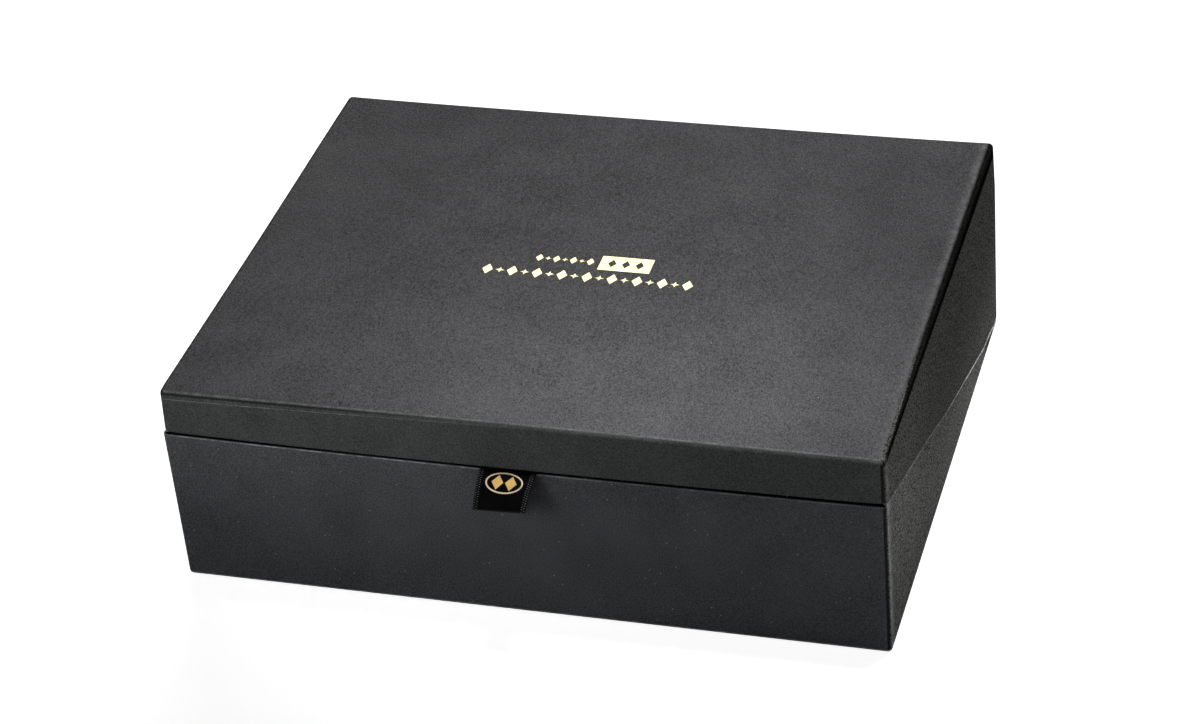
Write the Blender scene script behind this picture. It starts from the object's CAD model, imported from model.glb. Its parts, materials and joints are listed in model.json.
import json
import math
import bmesh
import bpy
import numpy as np
from mathutils import Matrix, Vector


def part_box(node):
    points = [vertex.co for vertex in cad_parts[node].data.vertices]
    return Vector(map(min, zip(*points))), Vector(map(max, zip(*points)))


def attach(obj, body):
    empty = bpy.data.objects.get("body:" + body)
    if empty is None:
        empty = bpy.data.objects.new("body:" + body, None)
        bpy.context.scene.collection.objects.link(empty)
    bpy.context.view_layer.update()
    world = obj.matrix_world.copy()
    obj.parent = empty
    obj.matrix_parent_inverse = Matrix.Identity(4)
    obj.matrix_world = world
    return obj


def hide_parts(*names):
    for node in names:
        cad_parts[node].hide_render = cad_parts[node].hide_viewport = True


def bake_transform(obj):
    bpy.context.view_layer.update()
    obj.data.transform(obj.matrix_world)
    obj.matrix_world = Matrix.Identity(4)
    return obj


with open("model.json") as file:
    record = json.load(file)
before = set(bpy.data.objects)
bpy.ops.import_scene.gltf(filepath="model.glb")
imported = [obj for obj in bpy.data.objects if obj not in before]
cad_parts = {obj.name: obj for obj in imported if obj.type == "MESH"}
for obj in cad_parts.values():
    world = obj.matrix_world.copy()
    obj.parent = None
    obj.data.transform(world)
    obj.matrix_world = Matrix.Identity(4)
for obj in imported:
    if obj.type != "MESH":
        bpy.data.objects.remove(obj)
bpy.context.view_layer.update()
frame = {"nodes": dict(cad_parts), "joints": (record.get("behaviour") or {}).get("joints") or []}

# A presentation box of papered grey board with a hinged lid, a ribbon tab and an inner liner.
# Everything is in metres, in the frame's own axes: +X right, +Y to the hinge, +Z up.

mm = 0.001
print("frame loaded:", len(frame["nodes"]), "nodes")


def corners(node):
    low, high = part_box(node)
    return np.array(low), np.array(high)


# sizes shared by the papered shells, taken from the frame
lidLow, lidHigh = corners("lid_wrap")
baseLow, baseHigh = corners("base_wrap")
liningHigh = corners("base_floor_lining")[1]
leafHigh = corners("hinge_cloth_lid_leaf")[1]
clothFront = corners("hinge_cloth_base_leaf")[0][1]

shell = {
    "wall": 2.9 * mm,          # finished thickness of every wall
    "edgeRadius": 2.0 * mm,    # wrapped outer edges
    "foldRadius": 0.75 * mm,   # where the paper turns over the board's bare edge
    "paper": 0.25 * mm,
    "turnIn": 15 * mm,
    "gap": 0.8 * mm,           # between lid and base, as drawn
    "closeLeft": 0.40 * mm,    # how far the hand-made lid sits lower than that at the left
    "closeRight": 0.20 * mm,   # and at the right
    "lidFront": 24.5 * mm,     # height of the lid's front wall
    "sagMiddle": -0.1 * mm,    # the parting line hangs a little lower in the front's middle
    "sagEnds": 1.1 * mm,       # and runs up towards the corners
    "sagFade": 70 * mm,        # and back to straight along the sides
    "sideDip": -2.9 * mm,      # along the sides' rear halves it hangs below the straight slope
    "dipFrom": (-60 * mm, 5 * mm),
    "dipTo": (95 * mm, 117 * mm),
    "cornerLift": 0.35 * mm,   # the lid's lower front corners are rounded up a little more
    "cornerReach": 11 * mm,
    "aim": 0.0,                # height that the slanted line aims at on the rear face
    "rearFade": (10 * mm, 30 * mm),   # heights over which the edges' unevenness fades at the rear
    "stepLong": 84,            # columns along the front and rear
    "stepShort": 66,           # columns along each side
    "stepArc": 7,              # columns round a corner
}

halfLid = np.array([lidHigh[0], lidHigh[1]])
halfBase = np.array([baseHigh[0], -baseLow[1]])
floorTop = liningHigh[2]
partFront = lidHigh[2] - shell["lidFront"]
partFlat = floorTop + shell["gap"] / 2
landY = lidLow[1] + shell["wall"]


def straightPart(y):
    # level over the front wall, then a straight slope to the rear edge, then level over the floor
    slope = (shell["aim"] - partFront) / (halfBase[1] - landY)
    return np.maximum(partFront + slope * np.maximum(y - landY, 0), partFlat)


def ramp(value, low, high):
    # 0 below low, 1 above high, a smooth s between them
    t = np.clip((value - low) / (high - low), 0, 1)
    return t * t * (3 - 2 * t)


def sideDip(y):
    return shell["sideDip"] * ramp(y, *shell["dipFrom"]) * (1 - ramp(y, *shell["dipTo"]))


def sag(x, y):
    # how far the hand-made edges leave the straight line: middle + (ends - middle) * (x / half)^2
    # over the front, fading out along the sides, which dip further back
    across = shell["sagMiddle"] + (shell["sagEnds"] - shell["sagMiddle"]) * (x / halfBase[0]) ** 2
    return across * (1 - ramp(y, landY, landY + shell["sagFade"])) + sideDip(y)


def partHeight(x, y):
    return straightPart(y) + sag(x, y)


def gridFaces(rows, cols, closed, flip):
    # one quad per cell of a grid of rows x cols points; closed joins the last column to the first
    r, c = np.meshgrid(np.arange(rows - 1), np.arange(cols if closed else cols - 1), indexing="ij")
    right = (c + 1) % cols
    quads = np.stack([r * cols + c, (r + 1) * cols + c, (r + 1) * cols + right, r * cols + right], -1)
    quads = quads.reshape(-1, 4)
    return quads[:, ::-1] if flip else quads


def meshFrom(name, points, faces, merge=0.0):
    mesh = bpy.data.meshes.new(name)
    mesh.from_pydata(np.asarray(points).reshape(-1, 3).tolist(), [], np.asarray(faces).tolist())
    if merge:
        work = bmesh.new()
        work.from_mesh(mesh)
        bmesh.ops.remove_doubles(work, verts=work.verts, dist=merge)
        work.to_mesh(mesh)
        work.free()
    mesh.shade_smooth()
    piece = bpy.data.objects.new(name, mesh)
    bpy.context.scene.collection.objects.link(piece)
    return piece


def gridPiece(name, points, closed=False, flip=False, merge=0.0):
    rows, cols = points.shape[:2]
    return meshFrom(name, points, gridFaces(rows, cols, closed, flip), merge)


def keepValue(piece, name, values):
    # a number for each vertex, which the piece's material reads back by name
    held = piece.data.attributes.new(name, "FLOAT", "POINT")
    held.data.foreach_set("value", np.asarray(values, np.float32).ravel())


def keepFacing(piece, nx, ny, level):
    # outX and outY say which way a wall faces and are 0 on a level face, where onTop is 1
    keepValue(piece, "outX", nx * ~level)
    keepValue(piece, "outY", ny * ~level)
    keepValue(piece, "onTop", level + 0 * nx)


def keepUv(piece, name, uv):
    # uv is given for each vertex and written out for each corner of each face
    layer = piece.data.uv_layers.new(name=name)
    corner = np.zeros(len(piece.data.loops), np.int32)
    piece.data.loops.foreach_get("vertex_index", corner)
    layer.data.foreach_set("uv", np.asarray(uv, np.float32).reshape(-1, 2)[corner].ravel())


def thicken(piece, thickness, offset=-1.0):
    wall = piece.modifiers.new("thickness", "SOLIDIFY")
    wall.thickness = thickness
    wall.offset = offset


def rimOutline(half, radius, insets, least=0.3 * mm):
    # a rounded rectangle drawn in by each inset: quarter arcs at the corners, even steps between
    # them. It starts at the rear left corner and runs by the left, front, right and rear.
    # Gives x, y and the outward direction, each as insets x columns.
    signs = np.array([[-1, 1], [-1, -1], [1, -1], [1, 1]])
    starts = np.radians([90, 180, 270, 360])
    counts = [shell["stepShort"], shell["stepLong"], shell["stepShort"], shell["stepLong"]]
    columns = []
    for k in range(4):
        arc = starts[k] + np.linspace(0, math.pi / 2, shell["stepArc"])
        for angle in arc:
            columns.append((*signs[k], angle, *signs[k], angle, 0.0))
        following = (k + 1) % 4
        for t in np.arange(1, counts[k]) / counts[k]:
            columns.append((*signs[k], arc[-1], *signs[following], arc[-1], t))
    sxA, syA, angA, sxB, syB, angB, t = np.array(columns).T
    inset = np.asarray(insets)[:, None]
    rho = np.minimum(np.maximum(radius - inset, least), half[1] - inset)
    reachX = half[0] - inset - rho
    reachY = half[1] - inset - rho
    xA = sxA * reachX + rho * np.cos(angA)
    yA = syA * reachY + rho * np.sin(angA)
    xB = sxB * reachX + rho * np.cos(angB)
    yB = syB * reachY + rho * np.sin(angB)
    return xA + (xB - xA) * t, yA + (yB - yA) * t, np.cos(angA) + 0 * inset, np.sin(angA) + 0 * inset


def quarter(steps):
    # angles of a quarter turn
    return np.linspace(0, math.pi / 2, steps)


def wobble(x, amount, phases):
    # a few slow sines: the small unevenness of a hand-wrapped edge
    total = 0
    for length, phase, share in phases:
        total = total + share * np.sin(2 * math.pi * x / length + phase)
    return amount * total


handWobble = [(0.310, 0.4, 0.6), (0.127, 1.9, 0.3), (0.053, 0.7, 0.12)]

# the lid's paper: one closed shell, turned in all round its lower edge
lidPaper = {
    "ridgeRows": 26,           # from the middle of the top out to its edge
    "ridgeEnd": 0.15 * mm,     # where those rows end, inside the wrapped edge
    "ridgeMerge": 0.06 * mm,
    "wallRows": 20,
    "insideRows": 6,
    "cornerRound": 0.4 * mm,   # how much rounder the corners are than the edges
    "topDip": 0.15 * mm,       # the top board sags a little in its middle
    "sideBow": 0.25 * mm,      # the walls lean out a little in their middles
    "flare": 0.8 * mm,         # the side walls stand out at their lower edges
    "flareOver": 24 * mm,
    "bendFade": (16 * mm, 2.6 * mm),   # depths under the top between which its bends fade out
    "droop": 1.5 * mm,         # the front edge is crushed towards its left end
    "droopReach": (3.4 * mm, 0.4 * mm),
    "droopEnd": 15 * mm,       # to the right of the middle
    "rearLift": 0.75 * mm,     # the top's rear corners stand up
    "liftFrom": -20 * mm,
    "rearOut": 0.5 * mm,       # and its rear left corner stands out
    "outFade": (16 * mm, 2 * mm),
    "outFrom": -40 * mm,
    "lowerWave": 0.12 * mm,
}


def lidBend(x, y, z):
    # how far the lid's top is bent up at its rear corners and crushed down along its front edge,
    # fading out down the walls
    deep, shallow = lidPaper["bendFade"]
    far, near = lidPaper["droopReach"]
    upper = ramp(z, lidHigh[2] - deep, lidHigh[2] - shallow)
    crushed = ramp(-y, halfLid[1] - far, halfLid[1] - near)
    crushed = crushed * (1 - ramp(x, -halfLid[0], lidPaper["droopEnd"]))
    raised = (x / halfLid[0]) ** 4 * ramp(y, lidPaper["liftFrom"], halfLid[1])
    return upper * (lidPaper["rearLift"] * raised - lidPaper["droop"] * crushed)


def buildLidPaper():
    # one row for each inset: in from the ridge, round the upper edge, down the wall, round the
    # lower edge and up the inside; one column for each place round the box
    radius, fold, wall = shell["edgeRadius"], shell["foldRadius"], shell["wall"]
    top = lidHigh[2]
    a, b = quarter(7), quarter(5)
    ridge = np.linspace(halfLid[1], radius + lidPaper["ridgeEnd"], lidPaper["ridgeRows"])
    down = np.linspace(0, 1, lidPaper["wallRows"])
    up = np.linspace(0, 1, lidPaper["insideRows"])[1:]
    inset = np.concatenate([
        ridge, radius * (1 - np.sin(a)), 0 * down[1:-1], fold * (1 - np.cos(b)),
        wall - fold * (1 - np.sin(b)), wall + 0 * up,
    ])
    x, y, nx, ny = rimOutline(halfLid, radius + lidPaper["cornerRound"], inset)
    edge = partHeight(x[-1], y[-1]) + shell["gap"] / 2
    fromCorner = np.maximum(halfLid[0] - np.abs(x[-1]), y[-1] + halfLid[1])
    edge = edge + shell["cornerLift"] * (1 - ramp(fromCorner, 0, shell["cornerReach"]))
    rightward = ramp(x[-1], -halfLid[0], halfLid[0])
    closer = shell["closeLeft"] + (shell["closeRight"] - shell["closeLeft"]) * rightward
    edge = edge - closer * ramp(edge, *shell["rearFade"])
    edge = edge + wobble(x[-1], lidPaper["lowerWave"], handWobble) * ramp(edge, *shell["rearFade"])
    edge = edge[None, :]
    topArc = top - radius * (1 - np.cos(a))[:, None]
    wallZ = (top - radius) + (edge + fold - top + radius) * down[1:-1, None]
    foldOut = edge + fold * (1 - np.sin(b))[:, None]
    foldIn = edge + fold * (1 - np.cos(b))[:, None]
    turnedIn = shell["turnIn"] - fold - sideDip(y[-1])
    insideZ = edge + fold + turnedIn * up[:, None]
    flat = top + 0 * edge
    z = np.concatenate([
        np.repeat(flat, len(ridge), 0), topArc + 0 * edge, wallZ, foldOut, foldIn, insideZ + 0 * edge,
    ])
    # dips and bows fade to nothing at the edges, so the shell keeps its outline
    inX = 1 - (x / halfLid[0]) ** 2
    inY = 1 - (y / halfLid[1]) ** 2
    inZ = np.clip((top - z) / (top - edge), 0, 1)
    onTop = (np.arange(len(inset)) < len(ridge))[:, None]
    z = z - lidPaper["topDip"] * np.clip(inX * inY, 0, 1) * onTop
    lean = lidPaper["sideBow"] * np.where(np.abs(nx) > 0.5, inY, inX) * inZ * ~onTop
    outer = np.clip(1 - inset[:, None] / wall, 0, 1) * ~onTop
    flare = lidPaper["flare"] * np.clip((top - z) / lidPaper["flareOver"], 0, 1) * np.abs(nx) * outer
    deep, shallow = lidPaper["outFade"]
    aside = lidPaper["rearOut"] * ramp(z, top - deep, top - shallow)
    aside = aside * ramp(y, lidPaper["outFrom"], halfLid[1])
    aside = aside * np.clip(x / halfLid[0], -1, 0)
    points = np.stack([x + nx * (lean + flare) + aside, y + ny * lean, z + lidBend(x, y, z)], -1)
    piece = gridPiece("lid_paper", points, closed=True)
    # millimetres along the surface from the lower edge, negative on the inside
    within = (inset[:, None] > fold) & ~onTop & (z < edge + fold + turnedIn)
    within[: len(ridge) + len(a)] = False
    keepValue(piece, "fromRim", np.where(within, -1, 1) * (z - edge) / mm)
    # millimetres from the middle of the wrapped upper edge, negative on the top
    arcMiddle = radius * math.pi / 4
    onArc = np.concatenate([-arcMiddle - (ridge - radius), radius * (a - math.pi / 4)])
    fromCrown = arcMiddle + (top - radius - z)
    fromCrown[: len(onArc)] = onArc[:, None]
    keepValue(piece, "fromCrown", fromCrown / mm)
    keepFacing(piece, nx, ny, onTop)
    closeRidge(piece)
    thicken(piece, shell["paper"])
    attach(piece, "lid")
    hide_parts("lid_wrap")
    return piece


def closeRidge(piece):
    # the innermost ring is pressed flat onto the ridge line, so its two sides are merged
    work = bmesh.new()
    work.from_mesh(piece.data)
    bmesh.ops.remove_doubles(work, verts=work.verts, dist=lidPaper["ridgeMerge"])
    bmesh.ops.dissolve_degenerate(work, edges=work.edges, dist=1e-6)
    work.to_mesh(piece.data)
    work.free()
    piece.data.shade_smooth()


# the base's paper: an open band round three walls, turned in above and below
basePaper = {
    "wallRows": 26,
    "insideRows": 6,
    "underRows": 4,
    "cornerRound": 0.3 * mm,   # how much rounder the corners are than the edges
    "sideBow": 0.30 * mm,
    "flare": 0.9 * mm,         # the left wall stands out at its upper edge
    "tuck": 0.15 * mm,         # and in at its foot
    "tuckFade": (-50 * mm, 100 * mm),  # distances to the front over which that comes in
    "upperWave": 0.10 * mm,
    "waveShift": 50 * mm,
    "underTurn": 15 * mm,
    "clothMargin": 0.1 * mm,   # to each side of the cloth's edge, where the paper steps in
    "clothLap": 0.2 * mm,      # how far inside the cloth leaf's end the paper reaches
    "clothPull": 0.99,         # share of the turn-in that is drawn back where the cloth lies
    "leastInside": 0.05 * mm,
    "insideFoot": 40.0,        # added to fromFoot on the inside, so that no foot line shows there
}


def buildBasePaper():
    # one row for each inset: out from under the floor, round the foot, up the wall, round the
    # upper edge and down the inside; one column for each place round the three walls
    radius, fold, wall = shell["edgeRadius"], shell["foldRadius"], shell["wall"]
    bottom = baseLow[2]
    a, b = quarter(6), quarter(5)
    under = np.linspace(1, 0, basePaper["underRows"])[:-1]
    up = np.linspace(0, 1, basePaper["wallRows"])[1:-1]
    down = np.linspace(0, 1, basePaper["insideRows"])[1:]
    inset = np.concatenate([
        radius + (basePaper["underTurn"] - radius) * under, radius * (1 - np.sin(a)), 0 * up,
        fold * (1 - np.cos(b)), wall - fold * (1 - np.sin(b)), wall + 0 * down,
    ])
    x, y, nx, ny = rimOutline(halfBase, radius + basePaper["cornerRound"], inset)
    # the rear stays open: the band ends with each rear corner's arc
    last = 4 * shell["stepArc"] + 2 * shell["stepShort"] + shell["stepLong"] - 3
    x, y, nx, ny = (part[:, :last] for part in (x, y, nx, ny))
    # under the hinge cloth the paper stops at the cloth's edge, so two columns stand just there
    margin = basePaper["clothMargin"]
    for side in (-1, 1):
        near = np.argsort(np.abs(y[-1] - clothFront) + (np.sign(x[-1]) != side))[:2]
        near = near[np.argsort(y[-1][near])]
        y[:, near[0]] = clothFront - margin
        y[:, near[1]] = clothFront + margin
    edge = partHeight(x[-1], y[-1]) - shell["gap"] / 2
    uneven = wobble(x[-1] + basePaper["waveShift"], basePaper["upperWave"], handWobble)
    edge = edge + uneven * ramp(edge, *shell["rearFade"])
    edge = edge[None, :]
    short = ramp(y[-1:], clothFront - margin, clothFront + margin)
    clothSide = max(halfBase[0] - leafHigh[0] + basePaper["clothLap"], radius)
    underRow = (np.arange(len(inset)) < len(under))[:, None]
    pull = np.maximum(inset[:, None] - clothSide, 0) * short * basePaper["clothPull"]
    pull = np.where(underRow, pull, 0)
    x = x + nx * pull
    y = y + ny * pull
    arcZ = bottom + radius * (1 - np.cos(a))[:, None]
    wallZ = (bottom + radius) + (edge - fold - bottom - radius) * up[:, None]
    foldOut = edge - fold * (1 - np.sin(b))[:, None]
    foldIn = edge - fold * (1 - np.cos(b))[:, None]
    turnedIn = shell["turnIn"] - fold + sideDip(y[-1])
    depth = np.maximum(np.minimum(turnedIn, edge - fold - floorTop), basePaper["leastInside"])
    insideZ = edge - fold - depth * down[:, None]
    z = np.concatenate([
        np.full((len(under), edge.shape[1]), bottom), arcZ + 0 * edge, wallZ, foldOut, foldIn, insideZ,
    ])
    inX = 1 - (x / halfBase[0]) ** 2
    inY = 1 - (y / halfBase[1]) ** 2
    inZ = np.sin(math.pi * np.clip((z - bottom) / (edge - bottom), 0, 1))
    lean = -basePaper["sideBow"] * np.where(np.abs(nx) > 0.5, inY, inX) * inZ * ~underRow
    outer = np.clip(1 - inset[:, None] / wall, 0, 1) * ~underRow
    high = np.clip((z - bottom) / (partFront - bottom), 0, 1)
    tuck = basePaper["tuck"] * (1 - high) * ramp(-y, *basePaper["tuckFade"])
    flare = (basePaper["flare"] * high * outer - tuck) * np.maximum(-nx, 0)
    points = np.stack([x + nx * (lean + flare), y + ny * lean, z], -1)
    piece = gridPiece("base_paper", points, flip=True)
    # millimetres down from the upper edge, negative on the inside
    aboveWall = (np.arange(len(inset)) > len(under) + len(a) + len(up))[:, None]
    within = (inset[:, None] > fold) & aboveWall
    keepValue(piece, "fromRim", np.where(within, -1, 1) * (edge - z) / mm)
    keepValue(piece, "fromFoot", (z - bottom) / mm + basePaper["insideFoot"] * within)
    keepFacing(piece, nx, ny, underRow)
    thicken(piece, shell["paper"])
    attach(piece, "base")
    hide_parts("base_wrap")
    return piece


# the hinge cloth: one strip from under the base to the lid's rear wall
hingeCloth = {
    "thickness": 0.36 * mm,
    "bend": 1.8 * mm,          # radius round the base's rear bottom edge
    "columns": 90,
    "rows": (14, 7, 15, 16),   # under the base, round its edge, over the gap and up the lid
    "narrower": 0.1 * mm,      # at each end
    "snug": 0.02 * mm,
    "gapBelow": 0.5 * mm,      # where the step over the gap begins, under the floor's top
    "gapHeight": 2.2 * mm,
    "frayWave": 0.12 * mm,
    "frayEdge": 0.1 * mm,
}


def buildHingeCloth():
    # a profile that runs back under the base, round its edge and up the lid, carried along x
    underRows, arcRows, gapRows, riseRows = hingeCloth["rows"]
    halfWidth = leafHigh[0] - hingeCloth["narrower"]
    outerBase = halfBase[1] - hingeCloth["snug"]
    outerLid = leafHigh[1]
    bottom = baseLow[2]
    bend = hingeCloth["bend"]
    a = quarter(arcRows)
    under = np.linspace(clothFront, outerBase - bend, underRows)[:-1]
    arcY, arcZ = outerBase - bend + bend * np.sin(a), bottom + bend - bend * np.cos(a)
    # over the parting gap the strip steps in to the lid's face, in many short rows because it
    # bends there
    step = np.linspace(0, 1, gapRows)[1:]
    stepZ = floorTop - hingeCloth["gapBelow"] + hingeCloth["gapHeight"] * step
    stepY = outerBase + (outerLid - outerBase) * ramp(step, 0.1, 0.9)
    rise = np.linspace(stepZ[-1], leafHigh[2], riseRows)[1:]
    y = np.concatenate([under, arcY, stepY, outerLid + 0 * rise])
    z = np.concatenate([bottom + 0 * under, arcZ, stepZ, rise])
    x = np.linspace(-halfWidth, halfWidth, hingeCloth["columns"])
    topEdge = (z > leafHigh[2] - hingeCloth["frayEdge"])[:, None]
    zGrid = z[:, None] + wobble(x, hingeCloth["frayWave"], handWobble)[None, :] * topEdge
    points = np.stack([x[None, :] + 0 * zGrid, y[:, None] + 0 * zGrid, zGrid], -1)
    piece = gridPiece("hinge_cloth", points)
    along = np.concatenate([[0], np.cumsum(np.hypot(np.diff(y), np.diff(z)))])
    keepUv(piece, "weave", np.stack([x[None, :] + 0 * zGrid, along[:, None] + 0 * zGrid], -1))
    thicken(piece, hingeCloth["thickness"])
    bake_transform(piece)
    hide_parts("hinge_cloth_base_leaf", "hinge_cloth_lid_leaf")
    return piece


# the ribbon: one length folded in two, from inside the lid to the fold of the tab
ribbon = {
    "width": 25.0 * mm,      # over its picot edges, at the fold
    "wider": 1.2 * mm,       # how much more it spreads where it leaves the box
    "centreX": -2.95 * mm,
    "layer": 0.27 * mm,      # thickness of one layer
    "half": 0.15 * mm,       # distance of each layer from the middle of the pair
    "puff": 0.42 * mm,       # the same at the fold, which springs open a little
    "puffFrom": 0.35,        # share of the tab's length where it begins to open
    "puffPower": 1.5,
    "foldPush": 1.1,         # how much longer than round the fold is
    "insideUp": 14 * mm,     # glued up the inside of the lid's front wall
    "turn": 0.45 * mm,       # radius of the turn from the wall into the gap
    "turnPower": 0.9,
    "through": 3.9 * mm,     # from that turn to the tab's hinge line
    "outside": 19.95 * mm,   # from the hinge line to the fold
    "skew": 0.2 * mm,        # how much longer the right edge is than the middle
    "start": 14.0,           # degrees below level just outside the gap
    "startOver": 1.5 * mm,
    "bend": 30.0,            # degrees more at the fold
    "twist": 5.0,            # degrees by which the right edge stands higher than the middle
    "twistOver": 6 * mm,
    "picot": 1.15 * mm,      # spacing of the loops along the woven edges
    "picotDepth": 0.16 * mm,
    "picotFrom": 0.9,        # share of the half width where the loops begin
    "columns": 45,
    "rows": (15, 9, 9, 90),  # up the wall, round the turn, through the gap and outside
    "foldRows": 11,
}
ribbonRoot = ribbon["insideUp"] + ribbon["turn"] * math.pi / 2 + ribbon["through"]


def ribbonMiddle(across):
    # The middle line of the doubled ribbon for each place across it (-1 left, 1 right), found by
    # adding up short steps whose heading turns: down the wall, level through the gap, drooping outside.
    upRows, turnRows, gapRows, outRows = ribbon["rows"]
    inside = np.linspace(0, ribbon["insideUp"], upRows)[:-1]
    turning = np.linspace(0, ribbon["turn"] * math.pi / 2, turnRows)[:-1] + ribbon["insideUp"]
    begin = ribbon["insideUp"] + ribbon["turn"] * math.pi / 2
    through = np.linspace(0, ribbon["through"], gapRows)[:-1] + begin
    root = ribbonRoot
    outside = np.linspace(0, 1, outRows) * ribbon["outside"] + root
    s = np.concatenate([inside, turning, through, outside])
    s = s[:, None] + 0 * across[None, :]
    past = np.maximum(s - root, 0)
    heading = 90 * (1 - ramp(s, ribbon["insideUp"], begin) ** ribbon["turnPower"])
    droop = ribbon["start"] * ramp(past, 0, ribbon["startOver"]) + ribbon["bend"] * past / ribbon["outside"]
    twist = ribbon["twist"] * across[None, :] * ramp(past, 0, ribbon["twistOver"])
    heading = heading + droop - twist
    stretch = np.where(s > root, 1 + ribbon["skew"] / ribbon["outside"] * across[None, :], 1)
    step = np.diff(s, axis=0) * stretch[1:]
    middle = np.radians((heading[1:] + heading[:-1]) / 2)
    y = np.concatenate([0 * s[:1], -np.cumsum(step * np.cos(middle), 0)])
    z = np.concatenate([0 * s[:1], -np.cumsum(step * np.sin(middle), 0)])
    atRoot = np.argmin(np.abs(s[:, 0] - root))
    hinge = frame["joints"][1]["pos_m"]
    y = y - y[atRoot] + hinge[1]
    z = z - z[atRoot] + hinge[2]
    return s, y, z, np.radians(heading), past


def ribbonSpread(past):
    # distance of each layer from the middle of the pair: half near the box, then opening to puff
    opened = ramp(past / ribbon["outside"], ribbon["puffFrom"], 1) ** ribbon["puffPower"]
    return ribbon["half"] + (ribbon["puff"] - ribbon["half"]) * opened


def buildRibbon():
    # the upper layer down to the fold, half round the fold, and the lower layer back up
    across = np.linspace(-1, 1, ribbon["columns"])
    s, y, z, heading, past = ribbonMiddle(across)
    spread = ribbonSpread(past)
    # the upper side is to the left of the heading: up on the tab, towards the wall inside the lid
    upY, upZ = -np.sin(heading), np.cos(heading)
    turn = np.linspace(0, math.pi, ribbon["foldRows"])[1:-1, None]
    foldOut, foldUp = np.sin(turn) * spread[-1] * ribbon["foldPush"], np.cos(turn) * spread[-1]
    foldY = y[-1] - np.cos(heading[-1]) * foldOut + upY[-1] * foldUp
    foldZ = z[-1] - np.sin(heading[-1]) * foldOut + upZ[-1] * foldUp
    allY = np.concatenate([y + upY * spread, foldY, (y - upY * spread)[::-1]])
    allZ = np.concatenate([z + upZ * spread, foldZ, (z - upZ * spread)[::-1]])
    length = np.concatenate([
        s[:, 0], s[-1, 0] + turn[:, 0] * ribbon["puff"],
        2 * s[-1, 0] + math.pi * ribbon["puff"] - s[::-1, 0],
    ])
    loops = ribbon["picotDepth"] * np.abs(np.sin(math.pi * length / ribbon["picot"]))[:, None]
    rim = np.clip((np.abs(across) - ribbon["picotFrom"]) / (1 - ribbon["picotFrom"]), 0, 1)[None, :]
    out = np.concatenate([past[:, 0], past[-1, 0] + 0 * turn[:, 0], past[::-1, 0]])[:, None]
    half = (ribbon["width"] + ribbon["wider"] * (1 - ramp(out, 0, ribbon["outside"]))) / 2
    x = ribbon["centreX"] + across[None, :] * half + np.sign(across)[None, :] * rim * loops
    points = np.stack([x + 0 * allY, allY, allZ], -1)
    piece = gridPiece("ribbon", points)
    uv = np.stack([across[None, :] * ribbon["width"] / 2 + 0 * allY, length[:, None] + 0 * allY], -1)
    keepUv(piece, "weave", uv)
    thicken(piece, ribbon["layer"], 0.0)
    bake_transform(piece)
    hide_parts("ribbon_tab", "ribbon_anchor")
    return piece


# the oval stamped on the tab, with two lozenges in it
emblem = {
    "halfWidth": 8.9 * mm,
    "halfHeight": 5.4 * mm,
    "band": 0.75 * mm,
    "place": 6.9 * mm,       # its middle, from the hinge line along the tab
    "figureWidth": 5.6 * mm,
    "figureHeight": 7.4 * mm,
    "figureApart": 3.2 * mm, # from the oval's middle to each lozenge's
    "figureCentre": 0.001,   # share of a lozenge's size where its innermost ring lies
    "lean": 2.5,             # degrees by which the stamp went on askew
    "lift": 0.03 * mm,
    "foil": 0.04 * mm,
    "around": 96,
    "ringRows": 4,
    "figureRows": 8,
}


def onTab(a, b):
    # a point on the tab's upper face, a across from its middle and b along from the hinge line
    across = a / (ribbon["width"] / 2)
    flat = across.ravel()
    y, z, heading, past = ribbonMiddle(flat)[1:]
    want = b.ravel()
    row = np.array([np.searchsorted(past[:, 0], w) for w in want])
    col = np.arange(len(flat))
    t = (want - past[row - 1, 0]) / (past[row, 0] - past[row - 1, 0])
    lift = ribbonSpread(want) + ribbon["layer"] / 2 + emblem["lift"]
    yy = y[row - 1, col] + t * (y[row, col] - y[row - 1, col]) - np.sin(heading[row, col]) * lift
    zz = z[row - 1, col] + t * (z[row, col] - z[row - 1, col]) + np.cos(heading[row, col]) * lift
    return np.stack([ribbon["centreX"] + a.ravel(), yy, zz], -1).reshape(a.shape + (3,))


def emblemPart(unitA, unitB, sizeA, sizeB, middleA, ring):
    # an outline drawn in several steps from its rim inwards, turned by the stamp's lean
    a = unitA * sizeA + middleA
    b = unitB * sizeB
    lean = math.radians(emblem["lean"])
    turnedA = a * math.cos(lean) - b * math.sin(lean)
    turnedB = a * math.sin(lean) + b * math.cos(lean)
    points = onTab(turnedA, turnedB + emblem["place"])
    part = gridPiece("emblem_part", points, closed=True, merge=1e-7)
    keepValue(part, "ring", np.full(len(part.data.vertices), ring))
    return part


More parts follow.
